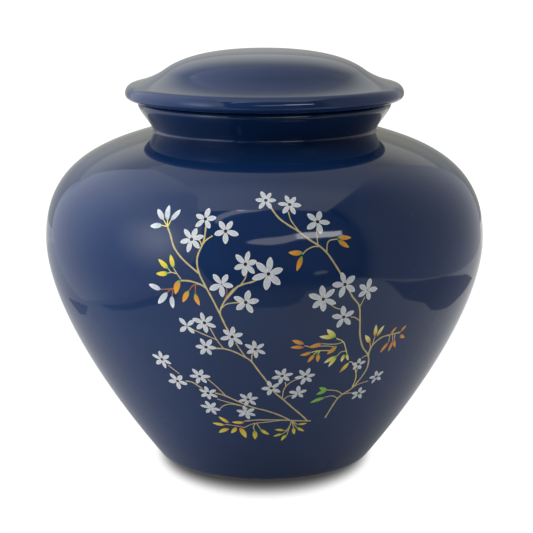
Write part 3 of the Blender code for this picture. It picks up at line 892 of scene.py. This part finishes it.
# A pale tent, open to the camera. Its walls are cards that only the glaze and the floor see.
studio = {
    "leftWall": -0.24, "rightWall": 0.37, "backWall": 0.55, "ceiling": 0.80, "farLeft": -0.5,
    "frontEdge": -0.41, "rightGap": 0.03, "backBottom": 0.04,
    "front": -1.2, "frontSize": (3, -1, 3),  # half its width, and its lowest and highest places
    "leftGlow": [("Z", 0.05, 0.30, 0.58, 1.10), ("Y", -0.10, 0.02, 0.0, 0.22), ("Z", 0.30, 0.48, 0.0, -0.24)],
    "hotGlow": 1.58, "hotPlace": (-0.22, 0.19), "hotSize": 0.14,
    "rightGlow": [("Y", -0.385, -0.27, 0.08, 0.36), ("Y", -0.2, 0.45, 0.0, 0.30),
                  ("Z", 0.3, 0.7, 0.0, -0.12)],
    "backGlow": [("Z", 0.22, 0.31, 0.48, 0.60), ("Z", 0.365, 0.39, 0.0, 0.30), ("Z", 0.45, 0.74, 0.0, -0.37),
                 ("X", -0.25, 0.28, 0.06, -0.08)], "backTint": (1, 0.99, 0.86, 1),
    "roofGlow": [("X", -0.45, 0.10, 0.90, 0.56), ("Y", -0.15, 0.15, 0.40, 0.0),
                 ("Y", 0.20, 0.40, 0.0, -0.08)],
    "sideGlow": [("Y", 0.0, 0.3, 0.5, 1.0)], "frontGlow": 0.12,
    "floorSize": 12.0, "floorFront": -2.5, "seenFloor": -0.0001, "mirroredFloor": -0.0002, "whiteGlow": 1.1,
    "shadeOutline": (264.0, 451.0, 98.0, 38.5), "shadeSoftness": 22.0,  # pixels of the photo
    "shadeTone": 0.22, "shadeSteps": (96, 16), "displayPower": 2.2,
    "floorGlow": (0.055, 0.285), "floorGlowFrom": (0.0, 0.22),
    "floorSockets": {"Base Color": (0.85, 0.85, 0.85, 1), "Roughness": 0.9, "Specular IOR Level": 0.0,
                     "Emission Color": (1, 0.99, 0.90, 1)},
    "lamps": {"leftLamp": (0.5, 8.8, (-1.08, -0.27, 0.46)), "lowLamp": (0.8, 1.0, (0.35, -1.0, -0.10))},
    "lampAim": (0, 0, 0.1),
    "streakDistance": -0.60, "darkHeight": 0.0006, "darkReach": 2.5,
    # outlines of the highlights and dark patches, as they show on the glaze in the photo
    "leftHighlight": [
        (115, 170), (156, 170), (183, 183), (199, 198), (203, 228), (197, 258), (181, 278), (165, 296),
        (120, 305), (80, 298), (62, 272), (53, 230), (60, 205), (75, 188), (95, 174),
    ],
    "streaks": [
        (2.2, [(214, 218), (222, 214), (231, 211), (240, 208), (252, 206.5), (268, 205.5), (290, 204.5)],
         [(216, 224), (224, 218), (233, 215), (242, 213), (254, 212), (270, 209.5), (290, 207.5)]),
        (10.0, [(236, 209.5), (242, 208), (249, 207.3)], [(238, 211), (243, 210.5), (249, 209.5)]),
        (2.2, [(246, 242), (256, 239), (268, 238), (282, 236.5), (296, 234)],
         [(250, 244), (258, 244.5), (270, 245), (284, 243.5), (297, 240)]),
        (6.5, [(296, 234), (305, 232.5), (320, 231.5), (333, 231.5), (341, 230.5)],
         [(297, 239), (306, 238.5), (320, 237.5), (334, 236.5), (342, 235)]),
        (1.0, [(314, 272.5), (321, 270.5), (328, 270.5)], [(315, 275), (322, 274), (327, 273)]),
    ],
    "frontDarkGlow": [("Y", -0.50, -0.28, 0.08, 0.24)],
    "frontDark": [
        (200, 268), (210, 281), (226, 289), (232, 301), (250, 307), (285, 307), (300, 302), (307, 292),
        (330, 287), (352, 280),
    ],
    "sideDarks": [
        (0.26, [(384, 280), (405, 282), (425, 280), (445, 276), (466, 274), (472, 278), (458, 298),
                (448, 307), (440, 310), (431, 310), (424, 303), (404, 299)]),
        (0.26, [(100, 304), (120, 304), (135, 302), (150, 297), (166, 294), (180, 293), (178, 297),
                (160, 303), (145, 307), (130, 310), (112, 310)]),
        (0.28, [(68, 297), (78, 302), (88, 306), (86, 315), (80, 314), (74, 306)]),
    ],
}


def emitter(name, level, hot=None, tint=(1, 1, 1, 1)):
    # a plain glow, or a sum of ramps (axis, place, place, level, level), with a hot spot if given;
    # the tint is a colour or the name of a colour layer
    material, tree, shader, node = newMaterial(name)
    tree.nodes.remove(shader)
    if isinstance(tint, str):
        tint = node("ShaderNodeVertexColor", layer_name=tint).outputs["Color"]
    glow = node("ShaderNodeEmission", tint)
    if isinstance(level, float):
        glow.inputs["Strength"].default_value = level
    else:
        place = node("ShaderNodeTexCoord").outputs["Object"]
        axes = node("ShaderNodeSeparateXYZ", place).outputs

        def ramp(along, *ends):
            return node("ShaderNodeMapRange", along, *ends, interpolation_type="SMOOTHSTEP").outputs[0]

        parts = [ramp(axes[axis], *ends) for axis, *ends in level]
        if hot:
            centre, size, extra = hot
            far = node("ShaderNodeVectorMath", place, centre, operation="DISTANCE").outputs["Value"]
            parts.append(ramp(far, 0.0, size, extra, 0.0))
        total = parts[0]
        for part in parts[1:]:
            total = node("ShaderNodeMath", total, part, operation="ADD").outputs[0]
        tree.links.new(total, glow.inputs["Strength"])
    tree.links.new(glow.outputs[0], tree.nodes["Material Output"].inputs["Surface"])
    return material


def staged(name, places, faces, material):
    mesh = bpy.data.meshes.new(name)
    mesh.from_pydata([tuple(p) for p in places], [], faces)
    mesh.materials.append(material)
    made = bpy.data.objects.new(name, mesh)
    bpy.context.collection.objects.link(made)
    return made


def card(name, corners, material, shade=True):
    made = staged(name, corners, [range(len(corners))], material)
    made.visible_camera = False
    made.visible_diffuse = made.visible_shadow = shade


def footShade(s):
    # rings on the floor round an outline in the photo, from dark within to white outside
    centreX, centreY, halfWidth, halfHeight = s["shadeOutline"]
    around, rings = s["shadeSteps"]
    places, tones, faces = [], [], []
    for ring in range(rings + 1):
        share = ring / rings
        grow = s["shadeSoftness"] * (share - 0.5)
        tone = s["shadeTone"] + (1 - s["shadeTone"]) * share * share * (3 - 2 * share)
        for i in range(around):
            turn = i / around * math.tau
            eye, way = lineOfSight(centreX + (halfWidth + grow) * math.cos(turn),
                                   centreY + (halfHeight + grow) * math.sin(turn))
            places.append(eye + way * (-eye.z / way.z))
            tones += [tone ** s["displayPower"]] * 3 + [1]
        if ring:
            base = (ring - 1) * around
            faces += [(base + i, base + (i + 1) % around, base + around + (i + 1) % around, base + around + i)
                      for i in range(around)]
    faces.append(tuple(range(around)))
    made = staged("footShade", places, faces, emitter("footShade", 1.0, tint="tone"))
    made.data.color_attributes.new("tone", "FLOAT_COLOR", "POINT").data.foreach_set("color", tones)
    made.visible_glossy = made.visible_diffuse = made.visible_shadow = False


def buildStudio(s):
    left, right, back, top = s["leftWall"], s["rightWall"], s["backWall"], s["ceiling"]
    edge, front, side, low = s["frontEdge"], s["front"], s["farLeft"], s["backBottom"]
    nearRight = edge + s["rightGap"]
    hotY, hotZ = s["hotPlace"]
    card("leftHighlight", [mirroredOn(x, y, 0, left) for x, y in s["leftHighlight"]],
         emitter("leftGlow", s["leftGlow"], ((left, hotY, hotZ), s["hotSize"], s["hotGlow"])))
    card("leftSide", [(side, edge, 0), (side, edge, top), (side, back, top), (side, back, 0)],
         emitter("sideGlow", s["sideGlow"]))
    card("rightSide", [(right, nearRight, 0), (right, nearRight, top), (right, back, top), (right, back, 0)],
         emitter("rightGlow", s["rightGlow"]))
    card("backSide", [(side, back, low), (right, back, low), (right, back, top), (side, back, top)],
         emitter("backGlow", s["backGlow"], tint=s["backTint"]))
    card("roof", [(side, edge, top), (right, edge, top), (right, back, top), (side, back, top)],
         emitter("roofGlow", s["roofGlow"]))
    half, lowest, highest = s["frontSize"]
    card("darkFront", [(-half, front, lowest), (half, front, lowest), (half, front, highest),
                       (-half, front, highest)], emitter("frontGlow", s["frontGlow"]))
    for i, (glow, upper, lower) in enumerate(s["streaks"]):
        corners = [mirroredOn(x, y, 1, s["streakDistance"]) for x, y in upper + lower[::-1]]
        card(f"streak{i}", corners, emitter(f"streakGlow{i}", glow), False)
    height, reach = s["darkHeight"], s["darkReach"]
    dark = [mirroredOn(x, y, 2, height) for x, y in s["frontDark"]]
    farLeft, farRight = (-reach, dark[0].y, height), (reach, dark[-1].y, height)
    corners = [farLeft, *dark, farRight, (reach, front, height), (-reach, front, height)]
    card("frontDark", corners, emitter("frontDarkGlow", s["frontDarkGlow"]), False)
    for i, (glow, outline) in enumerate(s["sideDarks"]):
        corners = [mirroredOn(x, y, 2, height) for x, y in outline]
        card(f"sideDark{i}", corners, emitter(f"sideDarkGlow{i}", glow), False)

    def ground(name, height, material):
        half, near = s["floorSize"] / 2, s["floorFront"]
        corners = [(-half, near, height), (half, near, height), (half, half, height), (-half, half, height)]
        return staged(name, corners, [(0, 1, 2, 3)], material)

    # the floor that is seen is overexposed white, with a soft shade close to the foot
    seen = ground("paleFloor", s["seenFloor"], emitter("whiteGlow", s["whiteGlow"]))
    seen.visible_glossy = seen.visible_diffuse = seen.visible_shadow = False
    footShade(s)

    floorFinish, tree, shader, node = newMaterial("mirroredFloor")
    for socket, value in s["floorSockets"].items():
        shader.inputs[socket].default_value = value
    place = node("ShaderNodeTexCoord").outputs["Object"]
    aside = node("ShaderNodeSeparateXYZ", place).outputs["X"]
    level = node("ShaderNodeMapRange", aside, *s["floorGlowFrom"], *s["floorGlow"]).outputs[0]
    tree.links.new(level, shader.inputs["Emission Strength"])
    ground("mirroredFloor", s["mirroredFloor"], floorFinish).visible_camera = False

    # soft lamps, for the colour of the glaze and the sprays
    pieces = bpy.data.collections.new("litByLamps")
    pieces.objects.link(body)
    pieces.objects.link(lid)
    for name, (size, power, place) in s["lamps"].items():
        lampData = bpy.data.lights.new(name, "AREA")
        lampData.shape, lampData.size, lampData.energy = "DISK", size, power
        lamp = bpy.data.objects.new(name, lampData)
        lamp.location = place
        lamp.rotation_euler = (Vector(s["lampAim"]) - lamp.location).to_track_quat("-Z", "Y").to_euler()
        lamp.visible_camera = lamp.visible_glossy = False
        bpy.context.collection.objects.link(lamp)
        lamp.light_linking.receiver_collection = pieces
        lamp.light_linking.blocker_collection = pieces

    world = bpy.data.worlds.new("paleRoom")
    world.use_nodes = True
    background = world.node_tree.nodes["Background"].inputs
    background["Color"].default_value, background["Strength"].default_value = (1, 1, 1, 1), 1.0
    bpy.context.scene.world = world
    bpy.context.scene.view_settings.view_transform = "Standard"


buildStudio(studio)
print("studio lit")
